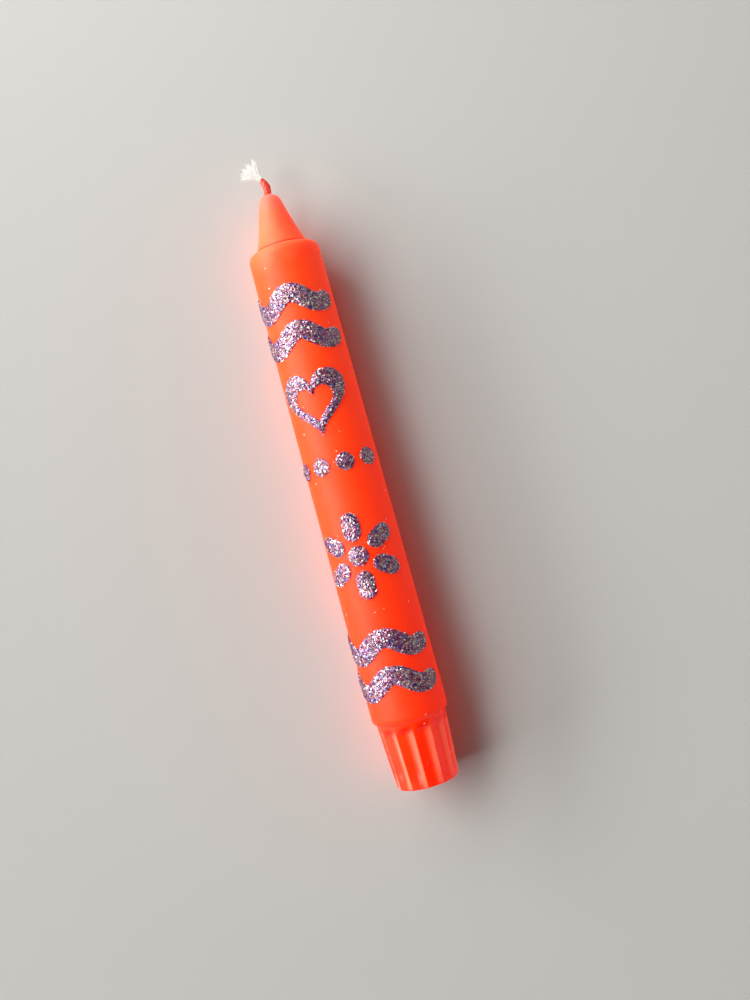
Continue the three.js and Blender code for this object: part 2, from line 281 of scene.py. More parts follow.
def dipped_wax(name, shades, gloss, satin, painted_red_glow):
    """Dyed wax. shades are the (place, colour) stops of its dye from the foot's end to the nose's tip,
    gloss is how much its surface mirrors, satin is its roughness, and the last value is the strength of a red
    emission, a painted glow that stands for its fluorescence and shines whatever the lamps do."""
    material, add = new_material(name)
    place = add("ShaderNodeTexCoord").outputs["Object"]
    along = add("ShaderNodeSeparateXYZ", inputs=[place]).outputs["X"]
    cloud = add("ShaderNodeTexNoise", inputs={
        "Vector": place, "Scale": 1 / (CLOUD_SIZE * MM), "Detail": 2.0, "Roughness": 0.5})

    # The dye runs from its reddest at the foot's end to paler towards the nose's tip.
    height = add(MAP_RANGE, inputs={
        "Value": along, "From Min": foot_middle.x, "From Max": foot_middle.x + WAX_LENGTH * MM})
    lowered = add(MATH, "SUBTRACT", [height, CLOUD_SHARE / 2])
    shade = add(MATH, "MULTIPLY_ADD", [cloud, CLOUD_SHARE, lowered])
    dye = colour_ramp(add, shade, shades)

    # Painted highlight: the left flank of each crest between the flutes is paled where the window's gloss
    # would fall.
    crest = add("ShaderNodeAttribute", {"attribute_name": "crest"}).outputs["Fac"]
    with_painted_highlight = add("ShaderNodeMix", {"data_type": "RGBA"}, {"Factor": crest, "A": dye, "B": linear(PAINTED_HIGHLIGHT_COLOUR)})

    # Painted shade: a darker red in the upper ends of the flutes, along the foot's end and, as a fine dark
    # line, in the crease round the nose's foot.
    painted_shade = add("ShaderNodeAttribute", {"attribute_name": "pool"}).outputs["Fac"]
    for spot, reach in PAINTED_SHADE_BANDS.items():
        past_spot = add(MATH, "SUBTRACT", [along, foot_middle.x + spot * MM])
        off_spot = add(MATH, "ABSOLUTE", [past_spot])
        near = add(MAP_RANGE, SMOOTH, {
            "Value": off_spot, "From Min": 0.0, "From Max": reach * MM,
            "To Min": DARKEST_PAINTED_SHADE, "To Max": 0.0})
        painted_shade = add(MATH, "MAXIMUM", [painted_shade, near])
    dye_with_painted_light = add("ShaderNodeMix", {"data_type": "RGBA"}, {
        "Factor": painted_shade, "A": with_painted_highlight, "B": linear(PAINTED_SHADE_COLOUR)})

    streaks = add("ShaderNodeTexNoise", inputs={
        "Vector": place, "Scale": 1 / (STREAK_SIZE * MM), "Detail": 3.0})
    roughness = add(MAP_RANGE, inputs={
        "Value": streaks, "From Min": 0.3, "From Max": 0.7,
        "To Min": satin - SATIN_SPREAD, "To Max": satin + SATIN_SPREAD})
    peel = add("ShaderNodeTexNoise", inputs={"Vector": place, "Scale": 1 / (PEEL_SIZE * MM), "Detail": 2.0})
    bump = add("ShaderNodeBump", inputs={"Height": peel, "Strength": 0.12, "Distance": PEEL_DEPTH * MM})
    # Its red emission is painted glow, which keeps the shaded side bright whatever the lamps do.
    shader = add("ShaderNodeBsdfPrincipled", inputs={
        "Base Color": dye_with_painted_light, "Roughness": roughness, "Normal": bump, "IOR": 1.43,
        "Specular IOR Level": gloss, "Sheen Weight": 0.08, "Sheen Roughness": 0.3,
        "Sheen Tint": linear("#ffc8a4"),
        "Subsurface Weight": 0.75, "Subsurface Radius": (1.0, 0.16, 0.06), "Subsurface Scale": 6 * MM,
        "Emission Color": linear("#ff0400"), "Emission Strength": painted_red_glow})
    return end_material(material, add, shader)


WAX_SHADES = [
    (0.0, "#ff3c0c"), (0.13, "#ff4a12"), (0.45, "#ff5416"), (0.88, "#ff6220"), (0.94, "#ff8254"),
    (1.0, "#ff8e82")]
neon_wax = dipped_wax("fluorescent_dipped_paraffin", WAX_SHADES, gloss=0.42, satin=0.5, painted_red_glow=0.55)
glossy_wax = dipped_wax("glossy_fluorescent_paraffin", WAX_SHADES, gloss=0.6, satin=0.25, painted_red_glow=0.5)

# %% [markdown]
# ## The wax body
#
# The coat's outside is a turned shape: a foot that widens upwards, a rounded lip, a long taper, a round
# shoulder and a hollow-sided nose. A lathe would cut it from one outline, so the outline is written as
# lines and curves, turned into rings of points, and covered with a skin. The twelve flutes are a rule and
# not an outline, so Geometry Nodes press them into the skin afterwards.

# %% Outline of the wax
LIP_RADIUS = 11.58
SHOULDER_RADIUS = 10.7
FOOT_END_RADIUS = 9.45
FOOT_TOP_RADIUS = 10.6
FOOT_EDGE_ROUND = 0.6
LIP_RISE = 2.5
SHOULDER_ROUND = 2.9
LEDGE_RISE = 0.6
NOSE_FOOT_RADIUS = 7.7
NOSE_TIP_RADIUS = 3.55
NOSE_DOME = 2.6
NOSE_HOLLOW = 0.6
# Where the nose is hollowest, as a share of its side.
NOSE_WAIST = 0.3
CREASE_DEPTH = 0.45

LEDGE = NOSE_FOOT - LEDGE_RISE
SHAFT_TOP = LEDGE - SHOULDER_ROUND
SHAFT_BOTTOM = FOOT_LENGTH + LIP_RISE


def line(start, end, steps):
    """Points from start up to, but without, end."""
    return [Vector(start).lerp(Vector(end), k / steps) for k in range(steps)]


def curve(start, bend, end, steps):
    """The same along a curve that heads for bend on its way."""
    start, bend, end = Vector(start), Vector(bend), Vector(end)
    return [start.lerp(bend, k / steps).lerp(bend.lerp(end, k / steps), k / steps) for k in range(steps)]


def wax_outline():
    """(radius, height) from the foot's end face, close to the axis, up to the nose's tip."""
    end_edge = (FOOT_END_RADIUS - FOOT_EDGE_ROUND, 0)
    side_edge = (FOOT_END_RADIUS, FOOT_EDGE_ROUND)
    foot_top = (FOOT_TOP_RADIUS, FOOT_LENGTH)
    lip = (LIP_RADIUS, SHAFT_BOTTOM)
    shoulder = (SHOULDER_RADIUS, SHAFT_TOP)
    ledge = (SHOULDER_RADIUS - SHOULDER_ROUND, LEDGE)
    nose_foot = (NOSE_FOOT_RADIUS, NOSE_FOOT)
    dome_foot = (NOSE_TIP_RADIUS, WAX_LENGTH - NOSE_DOME)
    waist = Vector(nose_foot).lerp(Vector(dome_foot), NOSE_WAIST)
    return [
        *line((0.4, 0), end_edge, 14),
        *curve(end_edge, (FOOT_END_RADIUS, 0), side_edge, 5),
        *line(side_edge, foot_top, 44),
        *curve(foot_top, (LIP_RADIUS, FOOT_LENGTH), lip, 8),
        *line(lip, shoulder, 90),
        *curve(shoulder, (SHOULDER_RADIUS, LEDGE), ledge, 10),
        *curve(ledge, (NOSE_FOOT_RADIUS, LEDGE - 2 * CREASE_DEPTH), nose_foot, 6),
        *curve(nose_foot, (waist.x - NOSE_HOLLOW, waist.y), dome_foot, 26),
        *curve(dome_foot, (NOSE_TIP_RADIUS - NOSE_DOME / 4, WAX_LENGTH), (0.3, WAX_LENGTH), 9),
    ]


# %% Turn the outline
SIDES_ROUND = 288


def turned(outline, sides):
    """Rings of points: each (radius, height) of an outline, turned round the axis."""
    turns = [math.tau * k / sides for k in range(sides)]
    return [[Vector((radius * math.cos(turn), radius * math.sin(turn), height)) for turn in turns]
            for radius, height in outline]


def lofted(name, rings, closed=True):
    """A skin through rings of points. A fan of triangles closes the last ring and, where the skin is
    closed, the first one too."""
    sides = len(rings[0])
    points = [point for ring in rings for point in ring]
    faces = []
    for low in range(0, len(points) - sides, sides):
        for i in range(sides):
            j = (i + 1) % sides
            faces.append((low + i, low + j, low + j + sides, low + i + sides))
    last = len(points) - sides
    top = len(points)
    points.append(sum(rings[-1], Vector()) / sides)
    if closed:
        points.append(sum(rings[0], Vector()) / sides)
    for i in range(sides):
        j = (i + 1) % sides
        if closed:
            faces.append((top + 1, j, i))
        faces.append((top, last + i, last + j))
    return new_piece(name, points, faces)


skin = lofted("dipped_wax_coat", turned(wax_outline(), SIDES_ROUND))
print("The wax is", WAX_LENGTH, "mm long and", 2 * LIP_RADIUS, "mm across its lip")

# %% [markdown]
# ## Flutes
#
# Each flute is a hollow that is deepest along its middle and runs out at its upper end as an arch. Between
# two flutes stands a crest, crisp but rounded by the coat. The tree works out how far a point is from its
# flute's middle (0) to the crest (1), takes a bowl of that, and moves the point in towards the axis. A slow
# noise then lets the skin swell by a few hundredths of a millimetre, as dipped wax does. Two attributes tell
# the wax where to paint a pale highlight on the crests' left flanks and where to paint shade in the flutes'
# upper ends.

# %% Tree that presses the flutes
# A higher power makes the bowl's floor wider and its crests narrower.
BOWL_POWER = 1.5
# How deep the flutes still are at the foot's end, where the dipped coat fills them.
DEPTH_AT_END = 0.25
# The swell's noise hardly ever goes above this.
HIGHEST_SWELL = 0.8
MOST_PAINTED_HIGHLIGHT = 0.8


def flute_tree():
    """Presses the flutes into a skin and marks them for the wax."""
    tree, add, size = new_tree(
        "press_flutes",
        Float="Flutes, Crest turn, Depth, Length, Run-out, Crest round, End fade, End radius, Swell, "
              "Swell size, Pool reach, Foot top",
        Material="Wax, Foot wax")
    place = add("GeometryNodeInputPosition")
    at = add("ShaderNodeSeparateXYZ", inputs=[place]).outputs

    # Across a flute, from -1 at one crest to 1 at the next. A thousand whole flutes keep it positive first.
    angle = add(MATH, "ARCTAN2", [at["Y"], at["X"]])
    past_crest = add(MATH, "SUBTRACT", [angle, size["Crest turn"]])
    counted = add(MATH, "MULTIPLY", [past_crest, size["Flutes"]])
    share = add(MATH, "MULTIPLY_ADD", [counted, 1 / math.tau, 1000.0])
    part = add(MATH, "FRACT", [share])
    from_middle = add(MATH, "MULTIPLY_ADD", [part, 2.0, -1.0])
    off_middle = add(MATH, "ABSOLUTE", [from_middle])
    wide = add(MATH, "POWER", [off_middle, BOWL_POWER])

    arch_foot = add(MATH, "SUBTRACT", [size["Length"], size["Run-out"]])
    arch = add(MAP_RANGE, inputs={"Value": at["Z"], "From Min": arch_foot, "From Max": size["Length"]})
    high = add(MATH, "POWER", [arch, 2.0])
    rim = add(MATH, "ADD", [wide, high])
    bowl = add(MATH, {"operation": "SUBTRACT", "use_clamp": True}, [1.0, rim])
    rounding = add(MATH, "POWER", [size["Crest round"], 2.0])
    squared = add(MATH, "MULTIPLY_ADD", [bowl, bowl, rounding])
    eased = add(MATH, "SQRT", [squared])
    hollow = add(MATH, "SUBTRACT", [eased, size["Crest round"]])

    # The dipped coat fills the flutes near the end, and the end face keeps its middle: there they fade out
    # towards the axis.
    flat = add(VECTOR_MATH, "MULTIPLY", [place, (1, 1, 0)])
    radius = add(VECTOR_MATH, "LENGTH", [flat])
    reach = add(MATH, "DIVIDE", [radius, size["End radius"]])
    fade = add(MAP_RANGE, SMOOTH, {"Value": reach, "From Min": 0.5, "From Max": 0.95})
    near_end = add(MAP_RANGE, SMOOTH, {
        "Value": at["Z"], "From Min": 0.0, "From Max": size["End fade"], "To Min": DEPTH_AT_END})
    faded = add(MATH, "MULTIPLY", [fade, near_end])
    shallow = add(MATH, "MULTIPLY", [hollow, faded])
    depth = add(MATH, "MULTIPLY", [shallow, size["Depth"]])
    inwards = add(VECTOR_MATH, "SCALE", {
        "Vector": add(VECTOR_MATH, "NORMALIZE", [flat]),
        "Scale": add(MATH, "MULTIPLY", [depth, -1.0])})
    fluted = add("GeometryNodeSetPosition", inputs={"Geometry": size["Geometry"], "Offset": inwards})

    # The swelling only sinks the skin, so the candle keeps inside its measured outline.
    per_swell = add(MATH, "DIVIDE", [1.0, size["Swell size"]])
    noise = add("ShaderNodeTexNoise", inputs={"Scale": per_swell, "Detail": 1.0, "Vector": place})
    below_top = add(MATH, "SUBTRACT", [noise, HIGHEST_SWELL])
    outwards = add(VECTOR_MATH, "SCALE", {
        "Vector": add("GeometryNodeInputNormal"),
        "Scale": add(MATH, "MULTIPLY", [below_top, size["Swell"]])})
    swollen = add("GeometryNodeSetPosition", inputs={"Geometry": fluted, "Offset": outwards})

    # The left flank of each crest is marked for the wax, which paints a pale highlight there.
    below_arch = add(MATH, {"operation": "SUBTRACT", "use_clamp": True}, [1.0, high])
    painted_highlight_flank = add(MAP_RANGE, SMOOTH, {
        "Value": from_middle, "From Min": 0.05, "From Max": 0.85, "To Max": MOST_PAINTED_HIGHLIGHT})
    on_side = add(MAP_RANGE, inputs={"Value": reach, "From Min": 0.92, "From Max": 0.98})
    on_foot = add(MATH, "MULTIPLY", [below_arch, on_side])
    crest = add(MATH, "MULTIPLY", [painted_highlight_flank, on_foot])

    # Each flute's upper end is marked too, for the painted shade there.
    past_end = add(MATH, "SUBTRACT", [at["Z"], size["Length"]])
    at_end = add(MAP_RANGE, SMOOTH, {
        "Value": add(MATH, "ABSOLUTE", [past_end]),
        "From Min": 0.0, "From Max": size["Pool reach"], "To Min": 1.0, "To Max": 0.0})
    in_flute = add(MATH, {"operation": "SUBTRACT", "use_clamp": True}, [1.0, wide])
    pool = add(MATH, "MULTIPLY", [at_end, in_flute])

    marked = swollen
    for name, value in (("crest", crest), ("pool", pool)):
        marked = add("GeometryNodeStoreNamedAttribute", inputs={
            "Geometry": marked, "Name": name, "Value": value})
    smooth = add("GeometryNodeSetShadeSmooth", inputs=[marked])
    in_foot = add(MATH, "LESS_THAN", [at["Z"], size["Foot top"]])
    end_tree(add, smooth, (size["Wax"], True), (size["Foot wax"], in_foot))
    return tree


# %% Press the flutes
FLUTE_COUNT = 12
FLUTE_DEPTH = 0.86
FLUTE_LENGTH = 18.0
FLUTE_RUN_OUT = 1.4
CREST_ROUND = 0.18
END_FADE = 6.0
SWELL = 0.1
SWELL_SIZE = 16
PAINTED_SHADE_REACH = 1.9
# The foot's glossier finish reaches this far over the lip's underside.
FOOT_WAX_RISE = 0.3
# One crest faces the camera. Its side of the candle is at half a turn in the upright drawing.
CREST_TURN = math.pi - math.radians(1.3)

run_tree(skin, flute_tree(), {
    "Flutes": float(FLUTE_COUNT), "Crest turn": CREST_TURN, "Depth": FLUTE_DEPTH * MM,
    "Length": FLUTE_LENGTH * MM, "Run-out": FLUTE_RUN_OUT * MM, "Crest round": CREST_ROUND,
    "End fade": END_FADE * MM, "End radius": FOOT_END_RADIUS * MM, "Swell": SWELL * MM,
    "Swell size": SWELL_SIZE * MM, "Pool reach": PAINTED_SHADE_REACH * MM, "Wax": neon_wax,
    "Foot top": (FOOT_LENGTH + FOOT_WAX_RISE) * MM, "Foot wax": glossy_wax})
stray_ground = skin.data.copy()
hand_over(skin, "neon_wax", "colour_coat")

# %% [markdown]
# ## The white core
#
# Under the coat is the candle as it was cast. Nobody sees it while the coat is whole, and its CAD shape is
# right, so it only gets its finish: cast paraffin is milky, satin and faintly mottled by its crystals.

# %% Cast paraffin
CRYSTAL_SIZE = 1.2
CRYSTAL_DEPTH = 0.03


def cast_paraffin():
    """White wax with a faint mottle of crystals."""
    material, add = new_material("cast_white_paraffin")
    place = add("ShaderNodeTexCoord").outputs["Object"]
    crystals = add("ShaderNodeTexVoronoi", inputs={"Vector": place, "Scale": 1 / (CRYSTAL_SIZE * MM)})
    tint = colour_ramp(add, crystals, [(0.0, "#f4ecdf"), (1.0, "#e9dfcf")])
    bump = add("ShaderNodeBump", inputs={
        "Height": crystals, "Strength": 0.15, "Distance": CRYSTAL_DEPTH * MM})
    shader = add("ShaderNodeBsdfPrincipled", inputs={
        "Base Color": tint, "Normal": bump, "Roughness": 0.5, "IOR": 1.43,
        "Subsurface Weight": 0.5, "Subsurface Radius": (1.0, 0.8, 0.6), "Subsurface Scale": 3 * MM})
    return end_material(material, add, shader)


core_wax = cast_paraffin()
for slot in frame["nodes"]["wax_core"].material_slots:
    slot.material = core_wax
print("The core keeps its CAD shape, in", core_wax.name)

# %% [markdown]
# ## The wick's line
#
# The wick stands straight in its bore and leaves the nose as a short stub, which sways to one side and then
# leans to the other. One curve is enough for its braid, for the wax film on it and for the place where its
# end frays.

# %% Stub curve
WICK_RADIUS = 0.8
WICK_BOTTOM = 0.9
STUB_RISE = 5.2
STUB_LEAN = 0.9
STUB_SWAY = 0.6
STUB_BENDS = (
    Vector((0, 0, WAX_LENGTH)),
    Vector((0, -STUB_SWAY, WAX_LENGTH + 0.4 * STUB_RISE)),
    Vector((0, -STUB_SWAY / 3, WAX_LENGTH + 0.7 * STUB_RISE)),
    Vector((0, STUB_LEAN, WAX_LENGTH + STUB_RISE)))


def stub_points(count):
    """Points up the free stub."""
    return interpolate_bezier(*STUB_BENDS, count)


# %% [markdown]
# ## Braided cotton
#
# A candle's wick is a braid: strands that wind to the right and as many that wind to the left, each passing
# over one and under the next. That is a rule, so Geometry Nodes make it. Every strand is a line that is
# wound round the wick's own line. Its distance from the middle swings once between two crossings, and the
# two sets swing in opposite time, which is what makes them pass over and under.

# %% Bleached cotton
def cotton(name, light, dark, thread, painted_white_glow):
    """Matt spun cotton with a soft halo. thread is the size of its visible fibres, and the last value is the
    strength of a white emission, a painted glow that brightens the cotton whatever the lamps do, standing for
    the bleach's brightener."""
    material, add = new_material(name)
    place = add("ShaderNodeTexCoord").outputs["Object"]
    fibres = add("ShaderNodeTexNoise", inputs={
        "Vector": place, "Scale": 1 / (thread * MM), "Detail": 3.0, "Roughness": 0.6})
    tint = colour_ramp(add, fibres, [(0.35, dark), (0.65, light)])
    bump = add("ShaderNodeBump", inputs={"Height": fibres, "Strength": 0.4, "Distance": thread * MM / 4})
    # The white emission is painted glow.
    shader = add("ShaderNodeBsdfPrincipled", inputs={
        "Base Color": tint, "Normal": bump, "Roughness": 0.9, "IOR": 1.5,
        "Sheen Weight": 0.35, "Sheen Roughness": 0.4,
        "Subsurface Weight": 0.3, "Subsurface Radius": (1.0, 0.95, 0.9), "Subsurface Scale": 0.4 * MM,
        "Emission Color": linear("#fffcf6"), "Emission Strength": painted_white_glow})
    return end_material(material, add, shader)


braid_cotton = cotton("bleached_cotton_braid", "#f6f2ea", "#d9d2c4", thread=0.15, painted_white_glow=0.05)

# %% Tree that braids the wick
def braid_tree():
    """Winds a braid of strands along a line."""
    tree, add, size = new_tree(
        "braid_wick",
        Int="Strands, Steps",
        Float="Turns, Wick radius, Strand radius, Swing",
        Material="Cotton")
    route = add("GeometryNodeMeshToCurve", inputs={"Mesh": size["Geometry"]})
    thread = add("GeometryNodeResampleCurve", inputs={"Curve": route, "Count": size["Steps"]})
    threads = add("GeometryNodeDuplicateElements", {"domain": "SPLINE"}, {
        "Geometry": thread, "Amount": size["Strands"]})
    number = threads.outputs["Duplicate Index"]

    # Even strands wind one way (+1) and odd ones the other (-1).
    parity = add(MATH, "MODULO", [number, 2.0])
    way = add(MATH, "MULTIPLY_ADD", [parity, -2.0, 1.0])
    up = add("GeometryNodeSplineParameter").outputs["Factor"]
    turns = add(MATH, "MULTIPLY", [up, size["Turns"]])
    wound = add(MATH, "MULTIPLY", [turns, math.tau])
    halved = add(MATH, "DIVIDE", [number, 2.0])
    pair = add(MATH, "FLOOR", [halved])
    pairs = add(MATH, "DIVIDE", [size["Strands"], 2.0])
    share = add(MATH, "DIVIDE", [pair, pairs])
    start = add(MATH, "MULTIPLY", [share, math.tau])
    turn = add(MATH, "MULTIPLY_ADD", [wound, way, start])

    crossings = add(MATH, "MULTIPLY", [wound, pairs])
    crossing = add(MATH, "COSINE", [crossings])
    in_time = add(MATH, "MULTIPLY", [crossing, way])
    swing = add(MATH, "MULTIPLY", [in_time, size["Swing"]])
    room = add(MATH, "ADD", [size["Strand radius"], size["Swing"]])
    ring = add(MATH, "SUBTRACT", [size["Wick radius"], room])
    reach = add(MATH, "ADD", [ring, swing])
    cosine = add(MATH, "COSINE", [turn])
    sine = add(MATH, "SINE", [turn])
    offset = add("ShaderNodeCombineXYZ", inputs=[
        add(MATH, "MULTIPLY", [reach, cosine]),
        add(MATH, "MULTIPLY", [reach, sine])])
    strands = add("GeometryNodeSetPosition", inputs={"Geometry": threads, "Offset": offset})
    section = add("GeometryNodeCurvePrimitiveCircle", {"mode": "RADIUS"}, {
        "Resolution": 6, "Radius": size["Strand radius"]})
    yarn = add("GeometryNodeCurveToMesh", inputs={
        "Curve": strands, "Profile Curve": section, "Fill Caps": True})
    smooth = add("GeometryNodeSetShadeSmooth", inputs=[yarn])
    end_tree(add, smooth, (size["Cotton"], True))
    return tree


# %% Braid the wick
STRANDS = 8
STRAND_RADIUS = 0.25
STRAND_SWING = 0.08
BRAID_PITCH = 7.0
STEPS_PER_TURN = 14

wick_line = [Vector((0, 0, WICK_BOTTOM)), *stub_points(8)]
wick = new_piece("braided_wick", wick_line, edges=[(k, k + 1) for k in range(len(wick_line) - 1)])
wick_turns = (WAX_LENGTH + STUB_RISE - WICK_BOTTOM) / BRAID_PITCH
run_tree(wick, braid_tree(), {
    "Strands": STRANDS, "Turns": wick_turns, "Wick radius": WICK_RADIUS * MM,
    "Strand radius": STRAND_RADIUS * MM, "Swing": STRAND_SWING * MM,
    "Steps": round(wick_turns * STEPS_PER_TURN), "Cotton": braid_cotton})
hand_over(wick, "cotton_braid", "wick")

# %% [markdown]
# ## The wax film on the stub
#
# The wick was dipped with the candle, so a film of the same wax covers the stub. It climbs from a small
# skirt on the nose's tip, follows the twist of the cotton in two soft lobes and thins out to a ragged edge.
# A tube whose radius is a formula is enough for that.

# %% Film on the stub
FILM_SIDES = 48
FILM_RINGS = 44
FILM_FROM = -0.25
FILM_REACH = 0.92
FILM_RADIUS = 1.12
SKIRT_RADIUS = 1.35
SKIRT_RISE = 0.5
PINCH_DEPTH = 0.2
PINCH_HEIGHT = 0.3
PINCH_REACH = 0.2
LOBE_HEIGHT = 0.62
LOBE_POWER = 0.7
LOBE_MIDDLE = 0.75
LOBES_END = 0.62
GROOVE_TURN = 2.85
FILM_TWIST = -0.16
# Lumps, as their height, how many stand round the stub, and their twist to each millimetre.
FILM_LUMPS = ((0.05, 3, 2.3), (0.04, 5, -4.1))
THINNING = 0.7
THINS_FROM = 0.5
RAGGED_EDGE = 0.25
RAGGED_TURN = 0.6
RAGGED_POWER = 6


def film_radius(rise, turn):
    """The film's radius at a height above the nose, round the stub."""
    up = max(rise, 0)
    share = rise / STUB_RISE
    skirt = (SKIRT_RADIUS - FILM_RADIUS) * math.exp(-up / SKIRT_RISE)
    lobes = abs(math.cos(turn - GROOVE_TURN - FILM_TWIST * rise)) ** LOBE_POWER - LOBE_MIDDLE
    lump = sum(height * math.sin(count * turn + twist * rise) for height, count, twist in FILM_LUMPS)
    pinch = PINCH_DEPTH * math.exp(-((rise - PINCH_HEIGHT) / PINCH_REACH) ** 2)
    thinning = THINNING * max(0, share - THINS_FROM)
    shown = min(1, up / SKIRT_RISE) * min(1, max(0, (1 - share) / (1 - LOBES_END)))
    return FILM_RADIUS + skirt + LOBE_HEIGHT * lobes * shown + lump - pinch - thinning


def stub_film():
    """Rings of points up the stub."""
    line_up = [Vector((0, 0, WAX_LENGTH + FILM_FROM))] + stub_points(60)
    line_up = line_up[:round(len(line_up) * FILM_REACH)]
    side = Vector((1, 0, 0))
    rings = []
    for k in range(FILM_RINGS):
        way_up = k / (FILM_RINGS - 1)
        place = way_up * (len(line_up) - 1)
        low = min(int(place), len(line_up) - 2)
        centre = line_up[low].lerp(line_up[low + 1], place - low)
        aim = (line_up[low + 1] - line_up[low]).normalized()
        other = aim.cross(side)
        ring = []
        for i in range(FILM_SIDES):
            turn = math.tau * i / FILM_SIDES
            # The upper edge runs higher on some sides than on others.
            ragged = RAGGED_EDGE * math.sin(2 * turn + RAGGED_TURN) * way_up ** RAGGED_POWER
            radius = film_radius(centre.z - WAX_LENGTH, turn)
            ring.append(centre + aim * ragged + (side * math.cos(turn) + other * math.sin(turn)) * radius)
        rings.append(ring)
    return rings


film = lofted("wax_film_on_stub", stub_film())
film.data.shade_smooth()
# The film's faint red emission is painted glow too.
film_wax = dipped_wax("dyed_wax_film_on_cotton", [(0.0, "#dc4434"), (1.0, "#f45a44")],
                      gloss=0.6, satin=0.3, painted_red_glow=0.14)
film.data.materials.append(film_wax)
hand_over(film, "neon_wax", "wick_dip_film")

# %% [markdown]
# ## The frayed end
#
# Above the film the cotton is loose. It spreads in a fan of a few clumps, each of soft yarns and of many
# single fibres, all joined at the stub's end. Geometry Nodes copy a tip's point once for each fibre, draw a
# line from the root to it, let it bow, wander and end at its own length, and give it a thin round section.

# %% Tree that spreads the fibres
WANDER_SIZE = 2.2
# The noise that bends a fibre is read at a place of its own, which its length picks.
FIBRES_APART = 90.0
# How thin a fibre's tip is, as a share of its root.
TIP_SHARE = 0.45


def fray_tree():
    """Grows fibres from the root towards each point."""
    tree, add, size = new_tree(
        "spread_fibres",
        Int="Fibres, Steps, Sides, Seed",
        Vector="Root, Aim",
        Float="Spread, Root spread, Wander, Thickness, Shortest",
        Material="Cotton")
    points = add("GeometryNodeDuplicateElements", {"domain": "POINT"}, {
        "Geometry": size["Geometry"], "Amount": size["Fibres"]})
    apart = add("FunctionNodeRandomValue", {"data_type": "FLOAT_VECTOR"}, {
        "Min": (-1, -1, -1), "Max": (1, 1, 1), "Seed": size["Seed"]})
    next_seed = add(MATH, "ADD", [size["Seed"], 1.0])
    length = add("FunctionNodeRandomValue", inputs={"Min": size["Shortest"], "Max": 1.0, "Seed": next_seed})

    # Each fibre's own values are stored on its point and read back once it is a line.
    tip = add("GeometryNodeInputPosition")
    own = {}
    for name, kind, value in (
            ("tip", "FLOAT_VECTOR", tip), ("apart", "FLOAT_VECTOR", apart), ("reach", "FLOAT", length)):
        points = add("GeometryNodeStoreNamedAttribute", {"data_type": kind}, {
            "Geometry": points, "Name": name, "Value": value})
        own[name] = add("GeometryNodeInputNamedAttribute", {"data_type": kind}, {"Name": name})
    stick = add("GeometryNodeCurvePrimitiveLine", inputs={"End": (0, 0, MM)})
    hair = add("GeometryNodeResampleCurve", inputs={"Curve": stick, "Count": size["Steps"]})
    copies = add("GeometryNodeInstanceOnPoints", inputs={"Points": points, "Instance": hair})
    bundle = add("GeometryNodeRealizeInstances", inputs=[copies])

    # The fibre's line: root to bow to tip, as a curve of second degree.
    along = add("GeometryNodeSplineParameter").outputs["Factor"]
    share = add(MATH, "MULTIPLY", [along, own["reach"]])
    bow = add(VECTOR_MATH, "ADD", [size["Root"], size["Aim"]])
    low = add("ShaderNodeMix", {"data_type": "VECTOR"}, {"Factor": share, "A": size["Root"], "B": bow})
    high = add("ShaderNodeMix", {"data_type": "VECTOR"}, {"Factor": share, "A": bow, "B": own["tip"]})
    body = add("ShaderNodeMix", {"data_type": "VECTOR"}, {"Factor": share, "A": low, "B": high})

    fan = add(MAP_RANGE, SMOOTH, {
        "Value": share, "From Min": 0.0, "From Max": 0.8,
        "To Min": size["Root spread"], "To Max": size["Spread"]})
    sideways = add(VECTOR_MATH, "SCALE", {"Vector": own["apart"], "Scale": fan})
    lane = add(MATH, "MULTIPLY", [own["reach"], FIBRES_APART])
    noise = add("ShaderNodeTexNoise", {"noise_dimensions": "4D"}, {
        "Vector": body, "W": lane, "Scale": 1 / (WANDER_SIZE * MM), "Detail": 1.0})
    centred = add(VECTOR_MATH, "SUBTRACT", [noise.outputs["Color"], (0.5, 0.5, 0.5)])
    wander = add(VECTOR_MATH, "SCALE", {
        "Vector": centred, "Scale": add(MATH, "MULTIPLY", [share, size["Wander"]])})
    aside = add(VECTOR_MATH, "ADD", [sideways, wander])
    bent = add("GeometryNodeSetPosition", inputs={
        "Geometry": bundle, "Position": add(VECTOR_MATH, "ADD", [body, aside])})
    taper = add(MAP_RANGE, inputs={
        "Value": along, "From Min": 0.5, "From Max": 1.0, "To Min": 1.0, "To Max": TIP_SHARE})
    section = add("GeometryNodeCurvePrimitiveCircle", {"mode": "RADIUS"}, {
        "Resolution": size["Sides"], "Radius": size["Thickness"]})
    hairs = add("GeometryNodeCurveToMesh", inputs={
        "Curve": bent, "Profile Curve": section, "Scale": taper, "Fill Caps": True})
    smooth = add("GeometryNodeSetShadeSmooth", inputs=[hairs])
    end_tree(add, smooth, (size["Cotton"], True))
    return tree


# %% Fray the wick's end
# Each clump's tip, as its lean to the left, its rise above the stub's end and its lift off the table.
FRAY_TIPS = ((5.7, 1.2, 0.3), (5.5, 2.7, 0.5), (4.5, 4.2, -0.4), (3.0, 5.4, -0.2), (0.4, 5.9, 0.3))
ROOT_DEPTH = 1.1
ROOT_SPREAD = 0.25
# How far above the stub's end the fibres start to bow.
BOW_RISE = 1.2

stub_end = STUB_BENDS[-1]
stub_aim = (STUB_BENDS[-1] - STUB_BENDS[-2]).normalized()
fray_root = (stub_end - stub_aim * ROOT_DEPTH) * MM
fray_aim = stub_aim * (ROOT_DEPTH + BOW_RISE) * MM
fray_points = [stub_end + Vector((-lift, lean, rise)) for lean, rise, lift in FRAY_TIPS]
fibre_cotton = cotton("loose_cotton_fibre", "#fffdf8", "#e6e1d8", thread=0.4, painted_white_glow=0.2)
spread_fibres = fray_tree()


